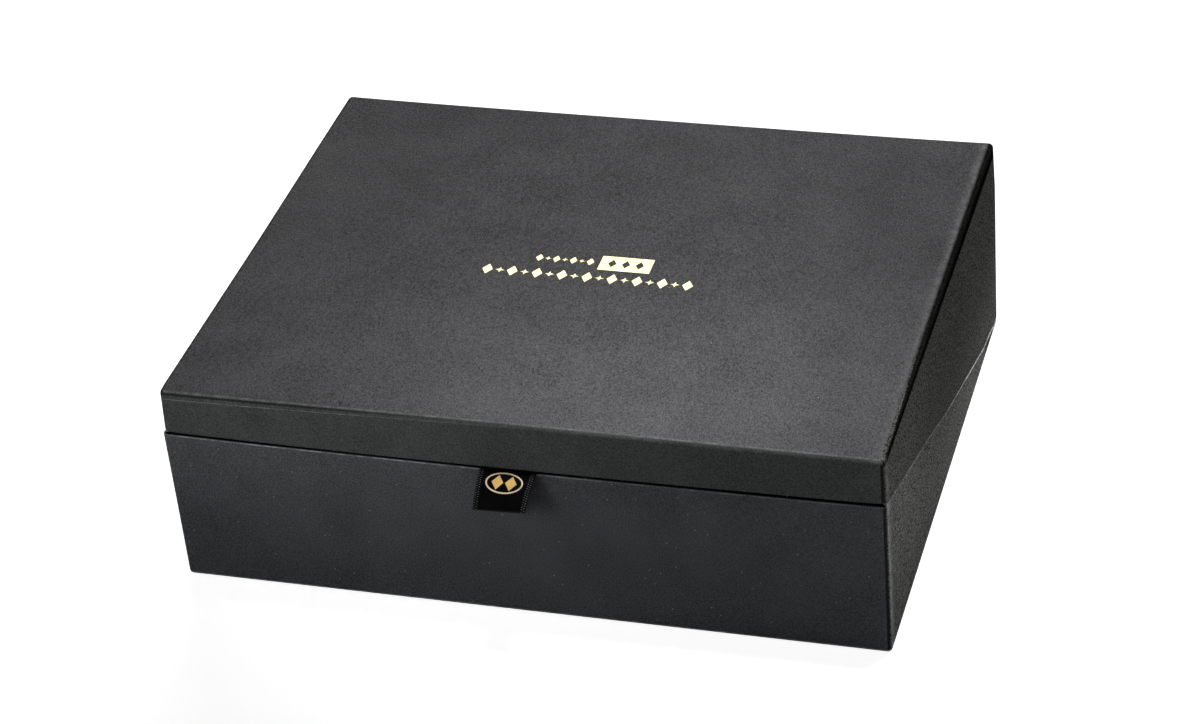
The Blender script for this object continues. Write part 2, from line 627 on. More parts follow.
def buildEmblem():
    # an ellipse for the ring, and rhombus outlines |a|/w + |b|/h = 1 for the two solid figures
    walk = np.arange(emblem["around"]) / emblem["around"]
    ovalA, ovalB = np.sin(2 * math.pi * walk), -np.cos(2 * math.pi * walk)
    k, t = np.divmod(walk * 4, 1)
    k = k.astype(int)
    cornerA = np.array([0, 1, 0, -1, 0])
    cornerB = np.array([-1, 0, 1, 0, -1])
    lozengeA = cornerA[k] * (1 - t) + cornerA[k + 1] * t
    lozengeB = cornerB[k] * (1 - t) + cornerB[k + 1] * t
    inward = np.linspace(0, emblem["band"], emblem["ringRows"])[:, None]
    made = [emblemPart(ovalA, ovalB, emblem["halfWidth"] - inward, emblem["halfHeight"] - inward, 0.0, 1.0)]
    shrink = np.linspace(1, emblem["figureCentre"], emblem["figureRows"])[:, None]
    across, along = shrink * emblem["figureWidth"] / 2, shrink * emblem["figureHeight"] / 2
    for side in (-1, 1):
        made.append(emblemPart(lozengeA, lozengeB, across, along, side * emblem["figureApart"], 0.0))
    bpy.ops.object.select_all(action="DESELECT")
    for part in made:
        part.select_set(True)
    bpy.context.view_layer.objects.active = made[0]
    bpy.ops.object.join()
    piece = made[0]
    piece.name = "tab_foil"
    thicken(piece, emblem["foil"])
    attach(piece, "tab")
    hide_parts("tab_emblem")
    return piece


# liner panels and dividers: the frame's boards with softened paper edges
softEdge = {"radius": 0.35 * mm, "segments": 3, "flat": 0.02}   # flat: radians between coplanar faces


def softBoard(node, body):
    mesh = frame["nodes"][node].data.copy()
    mesh.name = node + "_papered"
    mesh.materials.clear()
    work = bmesh.new()
    work.from_mesh(mesh)
    bmesh.ops.remove_doubles(work, verts=work.verts, dist=1e-6)
    bmesh.ops.dissolve_limit(work, angle_limit=softEdge["flat"], verts=work.verts, edges=work.edges)
    work.to_mesh(mesh)
    work.free()
    piece = bpy.data.objects.new(node + "_papered", mesh)
    bpy.context.scene.collection.objects.link(piece)
    soft = piece.modifiers.new("paper_edge", "BEVEL")
    soft.width = softEdge["radius"]
    soft.segments = softEdge["segments"]
    soft.limit_method = "ANGLE"
    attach(piece, body)
    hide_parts(node)
    return piece


# the walls' boards: cut along the same hand-made line as the papers over them
boardCuts = {
    "step": 8 * mm,            # between cuts, so that a board can bend
    "near": 4 * mm,            # points nearer than this to the straight line follow the hand-made one
    "crushed": (0.7 * mm, 1.4 * mm, 2.1 * mm, 2.8 * mm, 3.5 * mm),   # cuts behind the crushed edge
}


def bentBoard(node, body):
    mesh = frame["nodes"][node].data.copy()
    mesh.name = node + "_cut"
    work = bmesh.new()
    work.from_mesh(mesh)
    bmesh.ops.remove_doubles(work, verts=work.verts, dist=1e-6)
    for axis in (0, 1):
        low = min(v.co[axis] for v in work.verts)
        high = max(v.co[axis] for v in work.verts)
        normal = Vector((1, 0, 0)) if axis == 0 else Vector((0, 1, 0))
        places = list(np.arange(low + boardCuts["step"], high, boardCuts["step"]))
        if axis == 1 and body == "lid":
            places += [-halfLid[1] + inset for inset in boardCuts["crushed"]]
        for place in places:
            everything = work.verts[:] + work.edges[:] + work.faces[:]
            bmesh.ops.bisect_plane(work, geom=everything, plane_co=normal * float(place), plane_no=normal)
    for v in work.verts:
        if abs(v.co.z - float(straightPart(v.co.y))) < boardCuts["near"]:
            v.co.z += float(sag(v.co.x, v.co.y))
        if body == "lid":
            v.co.z += float(lidBend(v.co.x, v.co.y, v.co.z))
    work.to_mesh(mesh)
    work.free()
    piece = bpy.data.objects.new(node + "_cut", mesh)
    bpy.context.scene.collection.objects.link(piece)
    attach(piece, body)
    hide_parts(node)
    return piece


print("building the papers")
lidSkin = buildLidPaper()
baseSkin = buildBasePaper()
print("building the cloth and the ribbon")
clothStrip = buildHingeCloth()
ribbonLoop = buildRibbon()
tabFoil = buildEmblem()
print("building the boards")
bentBoards = [bentBoard(node, node.split("_")[0]) for node in (
    "base_front_board", "base_left_board", "base_right_board",
    "lid_front_board", "lid_left_board", "lid_right_board", "lid_rear_board", "lid_top_board",
)]
bentStays = bentBoard("lid_corner_stays", "lid")
print("building the liner")
linerNodes = [
    "liner_front_panel", "liner_rear_panel", "liner_left_panel", "liner_right_panel",
    "divider_long", "divider_cross_left", "divider_cross_right",
]
linerBoards = [softBoard(node, "base") for node in linerNodes]


class Wire:
    # a socket with Python's operators: each adds one Math node to the material
    def __init__(self, maker, socket):
        self.maker = maker
        self.socket = socket

    def math(self, operation, other=None, first=None):
        a = self if first is None else first
        b = other if first is None else self
        inputs = {0: a} if b is None else {0: a, 1: b}
        return self.maker.node("ShaderNodeMath", {"operation": operation}, inputs)

    def __add__(self, other):
        return self.math("ADD", other)

    def __radd__(self, other):
        return self.math("ADD", other)

    def __sub__(self, other):
        return self.math("SUBTRACT", other)

    def __rsub__(self, other):
        return self.math("SUBTRACT", first=other)

    def __mul__(self, other):
        return self.math("MULTIPLY", other)

    def __rmul__(self, other):
        return self.math("MULTIPLY", other)

    def __truediv__(self, other):
        return self.math("DIVIDE", other)

    def __pow__(self, other):
        return self.math("POWER", other)

    def __gt__(self, other):
        return self.math("GREATER_THAN", other)

    def __lt__(self, other):
        return self.math("LESS_THAN", other)


class Finish:
    # one material, and the only way that nodes are added to it
    def __init__(self, name):
        self.material = bpy.data.materials.new(name)
        self.material.use_nodes = True
        self.tree = self.material.node_tree
        self.tree.nodes.clear()

    def node(self, kind, settings=None, inputs=None, out=0):
        made = self.tree.nodes.new(kind)
        for key, value in (settings or {}).items():
            if key == "stops":
                stops = made.color_ramp.elements
                while len(stops) < len(value):
                    stops.new(0.5)
                for stop, (place, shade) in zip(stops, value):
                    stop.position = place
                    stop.color = (shade, shade, shade, 1)
            else:
                setattr(made, key, value)
        for key, value in (inputs or {}).items():
            socket = made.inputs[key]
            if isinstance(value, Wire):
                self.tree.links.new(value.socket, socket)
            else:
                socket.default_value = value
        return Wire(self, made.outputs[out]) if len(made.outputs) else None

    def mix(self, factor, a, b):
        return self.node("ShaderNodeMix", {"data_type": "RGBA"}, {0: factor, 6: a, 7: b}, out=2)

    def smooth(self, value, low, high):
        return self.node("ShaderNodeMapRange", {"interpolation_type": "SMOOTHSTEP"},
            {0: value, 1: low, 2: high, 3: 0.0, 4: 1.0})

    def noise(self, vector, scale, detail=3.0, rough=0.55, stretch=None):
        if stretch:
            vector = self.node("ShaderNodeMapping", None, {"Vector": vector, "Scale": stretch})
        return self.node("ShaderNodeTexNoise", None,
            {"Vector": vector, "Scale": scale, "Detail": detail, "Roughness": rough})

    def cells(self, vector, scale, out=0):
        inputs = {"Vector": vector, "Scale": scale}
        return self.node("ShaderNodeTexVoronoi", {"feature": "F1"}, inputs, out=out)

    def place(self):
        return self.node("ShaderNodeTexCoord", None, None, out=3)

    def between(self, ends, value, over):
        # the first end where value is at the low end of over, the second end where it is at the high
        return ends[0] + (ends[1] - ends[0]) * self.smooth(value, *over)

    def bump(self, height, distance, strength=1.0, over=None):
        inputs = {"Height": height, "Distance": distance, "Strength": strength}
        if over:
            inputs["Normal"] = over
        return self.node("ShaderNodeBump", None, inputs)

    def end(self, **sockets):
        names = {key: key for key in sockets}
        names.update(color="Base Color", roughness="Roughness", metallic="Metallic", normal="Normal",
            specular="Specular IOR Level", sheen="Sheen Weight", sheenRoughness="Sheen Roughness",
            coat="Coat Weight", coatRoughness="Coat Roughness")
        surface = self.node("ShaderNodeBsdfPrincipled", None, {names[k]: v for k, v in sockets.items()})
        self.node("ShaderNodeOutputMaterial", None, {"Surface": surface})
        return self.material


def rgb(r, g, b):
    return (r, g, b, 1.0)


coveringPaper = {
    "dark": rgb(0.022, 0.022, 0.023),
    "light": rgb(0.150, 0.150, 0.152),
    "edge": rgb(0.60, 0.60, 0.60),
    "rubbed": rgb(0.95, 0.95, 0.92),
    "deep": rgb(0.002, 0.002, 0.002),
    "dust": rgb(0.75, 0.75, 0.75),
    "grain": 900.0,            # leather cells per metre
    "warp": 260.0,
    "warpBy": 2.2 * mm,        # how far the cells are bent out of their places
    "cloud": 1450.0,
    "along": (1.0, 0.55, 1.0), # the paper's grain runs front to back
    "fibre": 2500.0,
    "broad": 34.0,
    "uneven": (3.0, 3.2, 0.35),   # what cloud, fibre and broad add to the shade
    "relief": (0.5, 0.6, 0.3),    # what cells, cloud and fibre add to the height
    "reliefHeight": 0.10 * mm,
    "reliefStrength": 0.9,
    "rough": (0.68, 0.14),     # least, and what cloud adds
    "sideFrom": (0.6, 0.95),   # outX between which a wall turns from front to side
    "frontGrain": 0.43,        # how strongly the grain shows on each kind of face
    "topGrain": 0.50,
    "sideGrain": 3.4,
    "wornFrom": (0.42, 0.62),  # noise between which a rubbed line shows whole
    "dustCells": 260.0,
    "speckInner": (0.030, 0.02),  # a speck's full part and its rim: least, and what its size adds
    "speckOuter": (0.050, 0.045),
}


class CoveringPaper(Finish):
    # black embossed paper; the pieces' values tell it where their edges are and which way they face
    def value(self, name):
        return self.node("ShaderNodeAttribute", {"attribute_name": name}, None, out=2)

    def spot(self):
        # x and y of the place
        return [self.node("ShaderNodeSeparateXYZ", None, {0: self.place()}, out=k) for k in (0, 1)]

    def within(self, value, low, high, soft):
        begun = self.smooth(value, low - soft, low + soft)
        return begun * (1 - self.smooth(value, high - soft, high + soft))

    def ground(self, fronts, sides, tops):
        p = self.place()
        side = self.smooth(self.value("outX").math("ABSOLUTE"), *coveringPaper["sideFrom"])
        level = self.value("onTop")
        onFront = coveringPaper["frontGrain"]
        share = onFront + side * (coveringPaper["sideGrain"] - onFront)
        share = share + level * (coveringPaper["topGrain"] - onFront)
        cloud = self.noise(p, coveringPaper["cloud"], 2.0, 0.6, stretch=coveringPaper["along"])
        fibre = self.noise(p, coveringPaper["fibre"], 2.0, 0.6, stretch=coveringPaper["along"])
        broad = self.noise(p, coveringPaper["broad"], 3.0, 0.5)
        byCloud, byFibre, byBroad = coveringPaper["uneven"]
        uneven = (cloud - 0.5) * byCloud + (fibre - 0.5) * byFibre
        mixed = self.node("ShaderNodeClamp", None, {0: 0.5 + uneven * share + (broad - 0.5) * byBroad})
        upright = self.mix(side, self.mix(mixed, *fronts), self.mix(mixed, *sides))
        shade = self.mix(level, upright, self.mix(mixed, *tops))
        return shade, cloud, fibre, share

    def height(self, cloud, fibre, share):
        p = self.place()
        noise = {"Vector": p, "Scale": coveringPaper["warp"], "Detail": 2.0}
        warp = self.node("ShaderNodeTexNoise", None, noise, out=1)
        push = {0: warp, 1: (coveringPaper["warpBy"],) * 3, 2: p}
        bent = self.node("ShaderNodeVectorMath", {"operation": "MULTIPLY_ADD"}, push)
        cells = self.cells(bent, coveringPaper["grain"])
        byCells, byCloud, byFibre = coveringPaper["relief"]
        return ((1 - cells) * byCells + cloud * byCloud + fibre * byFibre) * share

    def darken(self, shade, where):
        return self.mix(where, shade, coveringPaper["deep"])

    def scuffs(self, shade, line, strength, size=170.0, least=0.35):
        # a broken line of rubbed paper
        worn = self.smooth(self.noise(self.place(), size, 4.0, 0.75), *coveringPaper["wornFrom"])
        broken = least + (1 - least) * worn
        return self.mix(line * broken * strength, shade, coveringPaper["edge"])

    def dust(self, shade, low, strength):
        # a pale speck in each cell whose red is over low, sized by the cell's green
        p = self.place()
        near = self.cells(p, coveringPaper["dustCells"])
        colour = self.cells(p, coveringPaper["dustCells"], out=1)
        picked = self.node("ShaderNodeSeparateColor", None, {0: colour}) > low
        size = self.node("ShaderNodeSeparateColor", None, {0: colour}, out=1)
        inner, innerMore = coveringPaper["speckInner"]
        outer, outerMore = coveringPaper["speckOuter"]
        speck = (1 - self.smooth(near, inner + innerMore * size, outer + outerMore * size)) * picked
        return self.mix(speck * strength, shade, coveringPaper["dust"])

    def cornerFold(self, outX, outY, span):
        # the fold at the right front corner
        return self.within(outX, *span) * (1 - self.smooth(outY, -0.3, 0.0))

    def behindCorner(self, outX, y, frontEdge, reach):
        # the first stretch of the right wall behind the front corner
        beyond = self.smooth(y, *(frontEdge + part for part in reach))
        return self.smooth(outX, 0.88, 0.98) * (1 - beyond)

    def finished(self, shade, cloud, fibre, share):
        least, more = coveringPaper["rough"]
        height = self.height(cloud, fibre, share)
        normal = self.bump(height, coveringPaper["reliefHeight"], coveringPaper["reliefStrength"])
        return self.end(color=shade, roughness=least + more * cloud, normal=normal, specular=0.0)


def paperTones(lightness, tint):
    tones = (coveringPaper[k][:3] for k in ("dark", "light"))
    return [tuple(lightness * c * share for c, share in zip(tone, tint)) + (1.0,) for tone in tones]


# a name with Over is where along the box an effect comes in; crown and rim widths are millimetres
lidSheet = {
    "top": (1.18, (1.0, 0.99, 1.01)),        # lightness and tint of each kind of face
    "front": (1.02, (0.975, 1.015, 0.995)),
    "side": (0.98, (1.02, 1.025, 0.95)),
    "rightFrom": (0.75, 0.95),
    "frontFrom": (0.5, 0.9),
    "bandReach": (3.0, 6.3),                 # how far down the dark band goes, front and rear
    "bandReachOver": (-120 * mm, 130 * mm),
    "bandBegin": (-0.1, -1.8),               # and how far above the crown it begins
    "bandBeginOver": (-130 * mm, -30 * mm),
    "bandSoft": 0.25,
    "bandEnd": (0.8, 1.1),                   # shares of its reach
    "bandDeeper": (0.05, 0.35),
    "band": 0.86,
    "deeper": 0.9,
    "glow": 0.17,
    "glowReach": (8 * mm, 2.2 * mm),
    "glowOver": (-100 * mm, 50 * mm),
    "soft": 0.8,
    "softReach": (3.6 * mm, 1.8 * mm),
    "softOver": (-120 * mm, -30 * mm),
    "outline": 0.85,
    "outlineFrom": (-1.3, -0.5),
    "outlineTo": (1.2, 2.2),
    "corner": 0.8,
    "cornerSpan": (0.22, 0.72, 0.10),
    "cornerFrom": (0.8, 1.8),
    "behind": 0.24,
    "behindReach": (1.5 * mm, 8 * mm),
    "hind": 0.85,
    "hindSpan": (0.22, 0.95, 0.06),
    "hindFrom": (0.05, 0.25),
    "fold": 0.30,
    "foldSpan": (-1.3, 0.6, 0.5),
    "foldReach": (9 * mm, 3 * mm),
    "foldWear": (600.0, 0.1),                # noise scale, and the least that shows
    "leftOver": (-110 * mm, 30 * mm),
    "edgeLine": 0.26,
    "edgeSpan": (-1.5, -0.6, 0.35),
    "edgeDark": 0.7,
    "edgeDarkSpan": (-0.5, 0.5, 0.4),
    "crease": 0.45,
    "creaseDepth": (2.6, 1.0),
    "creaseOver": (-170 * mm, 20 * mm),
    "creaseSpan": (-0.18, 0.18, 0.2),
    "rimDark": (0.05, 0.3),
    "rimLine": 0.25,
    "rimSpan": (0.1, 0.5, 0.2),
    "dust": (0.86, 0.5),                     # which cells have a speck, and how pale it is
}


def makeLidPaper():
    f, look = CoveringPaper("covering_paper"), lidSheet
    shade, cloud, fibre, share = f.ground(*(paperTones(*look[k]) for k in ("front", "side", "top")))
    outX, outY, crown, rim = (f.value(name) for name in ("outX", "outY", "fromCrown", "fromRim"))
    x, y = f.spot()
    top = f.value("onTop")
    rightEdge, frontEdge = float(halfLid[0]), -float(halfLid[1])
    right = f.smooth(outX, *look["rightFrom"])
    front = f.smooth(outY * -1, *look["frontFrom"])
    # the wrapped right edge is burnished dark, in a band that narrows towards the front
    reach = f.between(look["bandReach"], y, look["bandReachOver"])
    begin = f.between(look["bandBegin"], y, look["bandBeginOver"])
    ending = f.smooth(crown, *(reach * part for part in look["bandEnd"]))
    band = f.smooth(crown - begin, 0.0, look["bandSoft"]) * (1 - ending) * right
    shade = f.darken(shade, band * look["band"])
    deeper = f.smooth(crown, *(reach * part for part in look["bandDeeper"]))
    shade = f.darken(shade, band * deeper * look["deeper"])
    # beside it the top is rubbed a little lighter, and darkens again at the edge
    glow = f.smooth(x, *(rightEdge - part for part in look["glowReach"])) * top
    shade = f.scuffs(shade, glow * f.between((0.5, 1.5), y, look["glowOver"]), look["glow"])
    soft = f.smooth(x, *(rightEdge - part for part in look["softReach"])) * top
    shade = f.darken(shade, soft * look["soft"] * f.smooth(y, *look["softOver"]))
    # the left and rear edges are burnished too, in a line
    outline = f.smooth(crown, *look["outlineFrom"]) * (1 - f.smooth(crown, *look["outlineTo"]))
    outline = outline * (1 - right) * (1 - front)
    shade = f.darken(shade, outline * (1 - top) * look["outline"])
    # the right front corner: a dark fold, and a light rubbed line on its far side
    belowCrown = f.smooth(crown, *look["cornerFrom"])
    corner = f.cornerFold(outX, outY, look["cornerSpan"]) * belowCrown
    shade = f.darken(shade, corner * look["corner"])
    shade = f.scuffs(shade, f.behindCorner(outX, y, frontEdge, look["behindReach"]), look["behind"])
    # the rear right corner's fold is dark too
    hind = f.within(outX, *look["hindSpan"]) * f.smooth(outY, *look["hindFrom"]) * belowCrown
    shade = f.darken(shade, hind * look["hind"])
    # the front's wrapped edge: rubbed light towards the right, creased at the left
    fold = f.within(crown, *look["foldSpan"]) * front
    fold = fold * f.smooth(x, *(rightEdge - part for part in look["foldReach"]))
    shade = f.scuffs(shade, fold, look["fold"], *look["foldWear"])
    leftPart = 1 - f.smooth(x, *look["leftOver"])
    shade = f.scuffs(shade, f.within(crown, *look["edgeSpan"]) * front, look["edgeLine"])
    edgeDark = f.within(crown, *look["edgeDarkSpan"]) * front * leftPart
    shade = f.darken(shade, edgeDark * look["edgeDark"])
    depth = f.between(look["creaseDepth"], x, look["creaseOver"])
    crease = f.within(crown - depth, *look["creaseSpan"]) * front * leftPart
    shade = f.scuffs(shade, crease, look["crease"])
    # the lower edge
    shade = f.darken(shade, (1 - f.smooth(rim, *look["rimDark"])) * (1 - right))
    shade = f.scuffs(shade, f.within(rim, *look["rimSpan"]) * right, look["rimLine"])
    return f.finished(f.dust(shade, *look["dust"]), cloud, fibre, share)


baseSheet = {
    "front": (1.22, (0.96, 0.99, 1.04)),
    "side": (1.50, (1.02, 1.02, 0.97)),
    "sideFrom": (0.75, 0.95),
    "lowerShade": 0.18,                      # how much darker the walls get towards the foot
    "sideShade": 0.25,                       # and the sides besides
    "lowerFrom": (5.0, 85.0),
    "corner": 0.8,
    "cornerSpan": (0.20, 0.74, 0.10),
    "behind": 0.45,
    "behindReach": (1.5 * mm, 9 * mm),
    "rimDark": (0.1, 0.3),
    "rimLine": 0.9,
    "rimSpan": (0.4, 0.85, 0.12),
    "rimFade": (1, 0.25),
    "rimFadeOver": (-100 * mm, 160 * mm),
    "rimWear": (90.0, 0.2),
    "slantLine": 0.75,
    "slantSpan": (-0.3, 0.65, 0.15),
    "slantShare": (0.45, 1.0),
    "slantOver": (-60 * mm, 50 * mm),
    "slantWear": (420.0, 0.1),
    "white": 0.9,
    "whiteSpan": (-0.2, 0.35, 0.12),
    "whiteOver": (0.0, 60 * mm),
    "whiteNoise": 420.0,
    "whiteFrom": (0.42, 0.58),
    "footLine": 0.7,
    "footSpan": (0.7, 1.7, 0.3),
    "under": 0.85,
    "underFrom": (1.0, 1.6),
    "hind": 0.7,
    "hindOver": (95 * mm, 112 * mm),
    "dust": (0.35, 0.85),
}


def makeBasePaper():
    f, look = CoveringPaper("covering_paper_base"), baseSheet
    shade, cloud, fibre, share = f.ground(*(paperTones(*look[k]) for k in ("front", "side", "front")))
    outX, outY, foot, rim = (f.value(name) for name in ("outX", "outY", "fromFoot", "fromRim"))
    x, y = f.spot()
    side = f.smooth(outX.math("ABSOLUTE"), *look["sideFrom"])
    lower = f.smooth(rim, *look["lowerFrom"]) * (look["lowerShade"] + side * look["sideShade"])
    shade = f.darken(shade, lower)
    shade = f.darken(shade, f.cornerFold(outX, outY, look["cornerSpan"]) * look["corner"])
    behind = f.behindCorner(outX, y, -float(halfBase[1]), look["behindReach"])
    shade = f.scuffs(shade, behind, look["behind"])
    # a rubbed line along the front's upper edge, fading to the right
    shade = f.darken(shade, (1 - f.smooth(rim, *look["rimDark"])) * (1 - side))
    line = f.within(rim, *look["rimSpan"]) * (1 - side) * f.between(look["rimFade"], x, look["rimFadeOver"])
    shade = f.scuffs(shade, line, look["rimLine"], *look["rimWear"])
    # the slanted edge is rubbed white towards the rear, broken further forward
    slant = f.within(rim, *look["slantSpan"]) * side
    alongSlant = f.between(look["slantShare"], y, look["slantOver"])
    shade = f.scuffs(shade, slant * alongSlant, look["slantLine"], *look["slantWear"])
    white = f.within(rim, *look["whiteSpan"]) * side * f.smooth(y, *look["whiteOver"])
    flaws = f.noise(f.place(), look["whiteNoise"], 3.0, 0.7)
    white = white * f.between((0.5, 1.0), flaws, look["whiteFrom"])
    shade = f.mix(white * look["white"], shade, coveringPaper["rubbed"])
    # the foot: a rubbed line along the front, dark along the sides and at their rear ends
    shade = f.scuffs(shade, f.within(foot, *look["footSpan"]) * (1 - side), look["footLine"])
    hind = f.smooth(y, *look["hindOver"]) * side * (1 - slant) * look["hind"]
    under = (1 - f.smooth(foot, *look["underFrom"])) * side + hind
    shade = f.darken(shade, under * look["under"])
    return f.finished(f.dust(shade, *look["dust"]), cloud, fibre, share)


plainPaper = {
    "lining": (rgb(0.032, 0.032, 0.034), rgb(0.050, 0.050, 0.053)),
    "liner": (rgb(0.036, 0.036, 0.038), rgb(0.058, 0.058, 0.061)),
    "underside": (rgb(0.028, 0.028, 0.030), rgb(0.046, 0.046, 0.049)),
    "fibre": 1500.0,         # noise scales, per metre
    "long": 520.0,
    "cloud": 60.0,
    "relief": 0.04 * mm,
}


def makePlainPaper(name, shades):
    f = Finish(name)
    p = f.place()
    fibre = f.noise(p, plainPaper["fibre"], 4.0, 0.65)
    long = f.noise(p, plainPaper["long"], 3.0, 0.6, stretch=(0.25, 1.0, 1.0))
    cloud = f.noise(p, plainPaper["cloud"], 3.0, 0.5)
    tone = f.smooth(fibre * 0.6 + long * 0.15 + cloud * 0.25, 0.35, 0.65)
    shade = f.mix(tone, *shades)
    normal = f.bump(fibre * 0.8 + long * 0.2, plainPaper["relief"], 0.6)
    return f.end(color=shade, roughness=0.78 + 0.12 * fibre, normal=normal, specular=0.3)


board = {
    "dark": rgb(0.26, 0.24, 0.21),
    "light": rgb(0.42, 0.39, 0.35),
    "fleck": rgb(0.10, 0.11, 0.14),
    "fibre": 900.0,
    "cloud": 120.0,
    "flecks": 420.0,
    "relief": 0.08 * mm,
}


def makeGreyBoard():
    f = Finish("grey_board")
    p = f.place()
    fibre = f.noise(p, board["fibre"], 5.0, 0.7, stretch=(1.0, 0.3, 1.0))
    cloud = f.noise(p, board["cloud"], 3.0, 0.5)
    flecks = f.cells(p, board["flecks"])
    shade = f.mix(f.smooth(fibre * 0.7 + cloud * 0.3, 0.3, 0.7), board["dark"], board["light"])
    shade = f.mix((1 - f.smooth(flecks, 0.10, 0.18)) * 0.5, shade, board["fleck"])
    normal = f.bump(fibre, board["relief"], 0.7)
    return f.end(color=shade, roughness=0.9 + 0.05 * fibre, normal=normal, specular=0.2)


tape = {
    "dark": rgb(0.34, 0.23, 0.12),
    "light": rgb(0.50, 0.36, 0.21),
    "fibre": 700.0,
    "relief": 0.04 * mm,
}


def makeTape():
    f = Finish("corner_tape")
    fibre = f.noise(f.place(), tape["fibre"], 4.0, 0.6, stretch=(1.0, 1.0, 0.25))
    shade = f.mix(f.smooth(fibre, 0.35, 0.65), tape["dark"], tape["light"])
    normal = f.bump(fibre, tape["relief"], 0.6)
    return f.end(color=shade, roughness=0.7 + 0.1 * fibre, normal=normal, specular=0.3)


weave = {
    "thread": 0.34 * mm,
    "dark": rgb(0.012, 0.012, 0.013),
    "light": rgb(0.040, 0.040, 0.043),
    "slub": 700.0,
    "relief": 0.08 * mm,
}


def makeHingeCloth():
    f = Finish("hinge_cloth")
    uv = f.node("ShaderNodeUVMap", {"uv_map": "weave"})
    turn = 2 * math.pi / weave["thread"]
    u = f.node("ShaderNodeSeparateXYZ", None, {0: uv}, out=0)
    v = f.node("ShaderNodeSeparateXYZ", None, {0: uv}, out=1)
    warpUp = (u * turn).math("SINE") * (v * turn * 0.5).math("SINE")
    over = f.smooth(warpUp, -0.6, 0.6)
    slub = f.noise(f.place(), weave["slub"], 3.0, 0.6)
    shade = f.mix(over * 0.7 + slub * 0.3, weave["dark"], weave["light"])
    normal = f.bump(over + slub * 0.4, weave["relief"], 0.8)
    return f.end(color=shade, roughness=0.82 + 0.1 * slub, normal=normal, specular=0.3, sheen=0.15)


satin = {
    "thread": 0.22 * mm,
    "deep": rgb(0.0010, 0.0010, 0.0011),
    "soft": rgb(0.0042, 0.0042, 0.0046),
    "loop": rgb(0.20, 0.20, 0.21),
    "rows": (12.0 * mm, 10.9 * mm),            # from the ribbon's middle to its rows of loops
    "rowSpan": (0.10 * mm, 0.45 * mm),
    "slub": 2600.0,
    "ragged": 1300.0,
    "hidden": 1.5 * mm,                        # the loops come in over this, outside the box
    "creaseIn": (-0.1 * mm, 0.3 * mm),         # the lighter line along the fold
    "creaseOut": (0.7 * mm, 1.2 * mm),
    "crease": 0.10,
    "relief": 0.04 * mm,
}


def makeSatin():
    f = Finish("satin_ribbon")
    uv = f.node("ShaderNodeUVMap", {"uv_map": "weave"})
    u = f.node("ShaderNodeSeparateXYZ", None, {0: uv}, out=0)
    v = f.node("ShaderNodeSeparateXYZ", None, {0: uv}, out=1)
    threads = (u * (2 * math.pi / satin["thread"])).math("SINE")
    drawn = f.node("ShaderNodeVectorMath", {"operation": "MULTIPLY"}, {0: uv, 1: (1.0, 0.12, 1.0)})
    slub = f.noise(drawn, satin["slub"])
    side = u.math("ABSOLUTE")
    wave = (v * (2 * math.pi / ribbon["picot"])).math("SINE")
    # two rows of loops along each edge, half a step apart, hidden inside the box
    outerRow, innerRow = (
        1 - f.smooth((side - place).math("ABSOLUTE"), *satin["rowSpan"]) for place in satin["rows"]
    )
    knots = f.smooth(wave, 0.35, 0.95) * outerRow + f.smooth(wave * -1, 0.35, 0.95) * innerRow
    knots = knots * f.smooth(v, ribbonRoot, ribbonRoot + satin["hidden"])
    ragged = f.smooth(f.noise(f.place(), satin["ragged"], 2.0, 0.5), 0.35, 0.6)
    shade = f.mix(f.smooth(slub, 0.3, 0.7), satin["deep"], satin["soft"])
    shade = f.mix(knots * (0.35 + 0.5 * ragged), shade, satin["loop"])
    fold = ribbonRoot + ribbon["outside"]
    begun = f.smooth(v, *(fold + part for part in satin["creaseIn"]))
    crease = begun * (1 - f.smooth(v, *(fold + part for part in satin["creaseOut"])))
    shade = f.mix(crease * satin["crease"], shade, satin["loop"])
    rough = 0.46 + 0.08 * slub
    normal = f.bump(threads * 0.35 + slub * 0.4 + knots * 3.0, satin["relief"], 0.5)
    return f.end(color=shade, roughness=rough, normal=normal, specular=0.02)


foil = {
    "lid": rgb(0.88, 0.79, 0.45),
    "lidMetal": 0.85,
    "tab": rgb(1.0, 0.66, 0.22),
    "tabRing": rgb(1.0, 0.97, 0.80),
    "tabMetal": 0.0,
    "worn": (0.86, 0.80, 0.66),    # what is left of the colour where the foil is thin
    "grain": 1100.0,
    "cloud": 260.0,
    "relief": 0.03 * mm,
}


def makeFoil(name, shade, metal, ring=None):
    f = Finish(name)
    p = f.place()
    grain = f.noise(p, foil["grain"], 4.0, 0.6)
    cloud = f.noise(p, foil["cloud"], 2.0, 0.5)
    deeper = tuple(c * left for c, left in zip(shade, foil["worn"])) + (1.0,)
    tone = f.mix(f.smooth(grain * 0.6 + cloud * 0.4, 0.35, 0.62), deeper, shade)
    if ring:
        outer = f.node("ShaderNodeAttribute", {"attribute_name": "ring"}, None, out=2)
        tone = f.mix(outer, tone, f.mix(grain, deeper, ring))
    normal = f.bump(grain, foil["relief"], 0.6)
    return f.end(color=tone, roughness=0.34 + 0.18 * grain, metallic=metal + 0.1 * cloud, normal=normal)


def dress(piece, material):
    piece.data.materials.clear()
    piece.data.materials.append(material)


print("mixing the materials")
paperSkin = makeLidPaper()
baseSkinPaper = makeBasePaper()
liningPaper = makePlainPaper("lining_paper", plainPaper["lining"])
linerPaper = makePlainPaper("liner_board", plainPaper["liner"])
undersidePaper = makePlainPaper("underside_paper", plainPaper["underside"])
greyBoard = makeGreyBoard()
cornerTape = makeTape()
lidFoil = makeFoil("gold_foil", foil["lid"], foil["lidMetal"])

